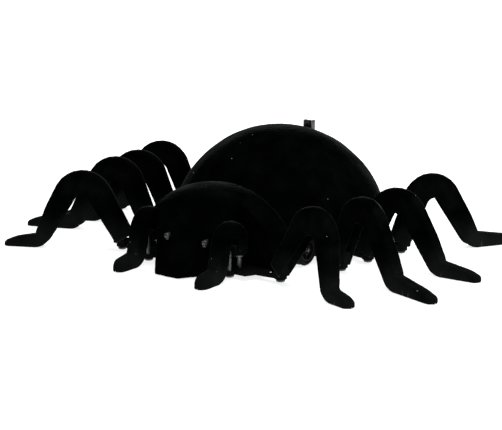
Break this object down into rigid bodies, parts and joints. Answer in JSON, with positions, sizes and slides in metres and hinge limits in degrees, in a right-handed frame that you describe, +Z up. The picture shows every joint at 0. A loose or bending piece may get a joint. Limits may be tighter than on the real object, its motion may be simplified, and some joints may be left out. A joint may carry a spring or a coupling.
{
  "type": "toy spider robot",
  "caption": "Remote-controlled toy spider with flocked domed shells, arched legs and front feelers that swing on pins, driven wheels and a suction fan underneath.",
  "frame": {"origin": "middle of the outline seen from above, on the floor under the wheels and feet", "axes": "+X to the spider's left, -Y the way it looks, +Z up"},
  "size_m": [0.212, 0.1384, 0.0486],
  "materials": {
    "abdomen_flock": "short black flock on a thin moulding",
    "head_flock": "short black flock on a thin moulding",
    "limb_flock": "short black flock on a channel moulding",
    "chassis_plastic": "fine moulded texture",
    "receiver_plastic": "gloss",
    "eye_lens": "clear gloss lamp",
    "pin_steel": "turned",
    "motor_steel": "drawn can",
    "tyre_rubber": "matt",
    "skirt_rubber": "matt",
    "battery_foil": "satin pouch",
    "board": "solder mask",
    "nylon": "moulded"
  },
  "bodies": {
    "body": {"abdomen_shell": "abdomen_flock", "battery": "battery_foil", "battery_hatch": "chassis_plastic", "charge_socket": "chassis_plastic", "chassis": "chassis_plastic", "circuit_board": "board", "drive_motor_left": "motor_steel", "drive_motor_right": "motor_steel", "eye_left": "eye_lens", "eye_right": "eye_lens", "fan_bracket": "chassis_plastic", "fan_motor": "motor_steel", "front_axle_left": "pin_steel", "front_axle_right": "pin_steel", "head_shell": "head_flock", "ir_receiver": "receiver_plastic", "pin_feeler_left": "pin_steel", "pin_feeler_right": "pin_steel", "pin_leg_left_1": "pin_steel", "pin_leg_left_2": "pin_steel", "pin_leg_left_3": "pin_steel", "pin_leg_left_4": "pin_steel", "pin_leg_right_1": "pin_steel", "pin_leg_right_2": "pin_steel", "pin_leg_right_3": "pin_steel", "pin_leg_right_4": "pin_steel", "rear_axle_left": "pin_steel", "rear_axle_right": "pin_steel", "screw_abdomen_left": "pin_steel", "screw_abdomen_right": "pin_steel", "screw_head_left": "pin_steel", "screw_head_right": "pin_steel", "stud_left": "pin_steel", "stud_right": "pin_steel", "suction_skirt": "skirt_rubber", "switch_body": "pin_steel"},
    "feeler_left": {"feeler_left": "limb_flock"},
    "feeler_right": {"feeler_right": "limb_flock"},
    "leg_left_1": {"leg_left_1": "limb_flock"},
    "leg_left_2": {"leg_left_2": "limb_flock"},
    "leg_left_3": {"leg_left_3": "limb_flock"},
    "leg_left_4": {"leg_left_4": "limb_flock"},
    "leg_right_1": {"leg_right_1": "limb_flock"},
    "leg_right_2": {"leg_right_2": "limb_flock"},
    "leg_right_3": {"leg_right_3": "limb_flock"},
    "leg_right_4": {"leg_right_4": "limb_flock"},
    "drive_wheel_left": {"front_tyre_left": "tyre_rubber", "front_wheel_left": "nylon", "drive_gear_left": "nylon"},
    "motor_pinion_left": {"pinion_left": "nylon"},
    "trailing_wheel_left": {"rear_tyre_left": "tyre_rubber", "rear_wheel_left": "nylon"},
    "drive_wheel_right": {"front_tyre_right": "tyre_rubber", "front_wheel_right": "nylon", "drive_gear_right": "nylon"},
    "motor_pinion_right": {"pinion_right": "nylon"},
    "trailing_wheel_right": {"rear_tyre_right": "tyre_rubber", "rear_wheel_right": "nylon"},
    "fan": {"fan_impeller": "nylon"},
    "power_slider": {"switch_slider": "chassis_plastic"}
  },
  "joints": [
    {"name": "swing_feeler_left", "type": "hinge", "parent": "body", "child": "feeler_left", "pos_m": [0.02298, -0.0424, 0.006], "axis": [0, 0, 1], "range_deg": [-8, 8]},
    {"name": "swing_feeler_right", "type": "hinge", "parent": "body", "child": "feeler_right", "pos_m": [-0.01822, -0.0424, 0.006], "axis": [0, 0, 1], "range_deg": [-8, 8]},
    {"name": "swing_leg_left_1", "type": "hinge", "parent": "body", "child": "leg_left_1", "pos_m": [0.04278, -0.0421, 0.006], "axis": [0, 0, 1], "range_deg": [-8, 12]},
    {"name": "swing_leg_left_2", "type": "hinge", "parent": "body", "child": "leg_left_2", "pos_m": [0.05298, -0.0149, 0.006], "axis": [0, 0, 1], "range_deg": [-10, 10]},
    {"name": "swing_leg_left_3", "type": "hinge", "parent": "body", "child": "leg_left_3", "pos_m": [0.05448, 0.00199, 0.006], "axis": [0, 0, 1], "range_deg": [-10, 10]},
    {"name": "swing_leg_left_4", "type": "hinge", "parent": "body", "child": "leg_left_4", "pos_m": [0.05798, 0.02179, 0.006], "axis": [0, 0, 1], "range_deg": [-10, 8]},
    {"name": "swing_leg_right_1", "type": "hinge", "parent": "body", "child": "leg_right_1", "pos_m": [-0.03802, -0.0421, 0.006], "axis": [0, 0, 1], "range_deg": [-12, 8]},
    {"name": "swing_leg_right_2", "type": "hinge", "parent": "body", "child": "leg_right_2", "pos_m": [-0.04822, -0.0149, 0.006], "axis": [0, 0, 1], "range_deg": [-5, 10]},
    {"name": "swing_leg_right_3", "type": "hinge", "parent": "body", "child": "leg_right_3", "pos_m": [-0.04972, 0.00199, 0.006], "axis": [0, 0, 1], "range_deg": [-8, 4]},
    {"name": "swing_leg_right_4", "type": "hinge", "parent": "body", "child": "leg_right_4", "pos_m": [-0.05322, 0.02179, 0.006], "axis": [0, 0, 1], "range_deg": [-10, 6]},
    {"name": "turn_drive_wheel_left", "type": "hinge", "parent": "body", "child": "drive_wheel_left", "pos_m": [0.03528, -0.0158, 0.0065], "axis": [1, 0, 0], "continuous": true},
    {"name": "turn_motor_pinion_left", "type": "hinge", "parent": "body", "child": "motor_pinion_left", "pos_m": [0.03088, -0.00866, 0.01063], "axis": [1, 0, 0], "continuous": true},
    {"name": "turn_trailing_wheel_left", "type": "hinge", "parent": "body", "child": "trailing_wheel_left", "pos_m": [0.02838, 0.03519, 0.0065], "axis": [1, 0, 0], "continuous": true},
    {"name": "turn_drive_wheel_right", "type": "hinge", "parent": "body", "child": "drive_wheel_right", "pos_m": [-0.03052, -0.0158, 0.0065], "axis": [1, 0, 0], "continuous": true},
    {"name": "turn_motor_pinion_right", "type": "hinge", "parent": "body", "child": "motor_pinion_right", "pos_m": [-0.02612, -0.00866, 0.01063], "axis": [1, 0, 0], "continuous": true},
    {"name": "turn_trailing_wheel_right", "type": "hinge", "parent": "body", "child": "trailing_wheel_right", "pos_m": [-0.02362, 0.03519, 0.0065], "axis": [1, 0, 0], "continuous": true},
    {"name": "turn_fan", "type": "hinge", "parent": "body", "child": "fan", "pos_m": [0.00238, 0.0132, 0.009], "axis": [0, 0, 1], "continuous": true},
    {"name": "slide_power", "type": "slide", "parent": "body", "child": "power_slider", "axis": [1, 0, 0], "range_m": [0, 0.002]}
  ],
  "couplings": [
    {"joint": "turn_motor_pinion_left", "follows": "turn_drive_wheel_left", "ratio": -2.6667},
    {"joint": "turn_motor_pinion_right", "follows": "turn_drive_wheel_right", "ratio": -2.6667}
  ]
}
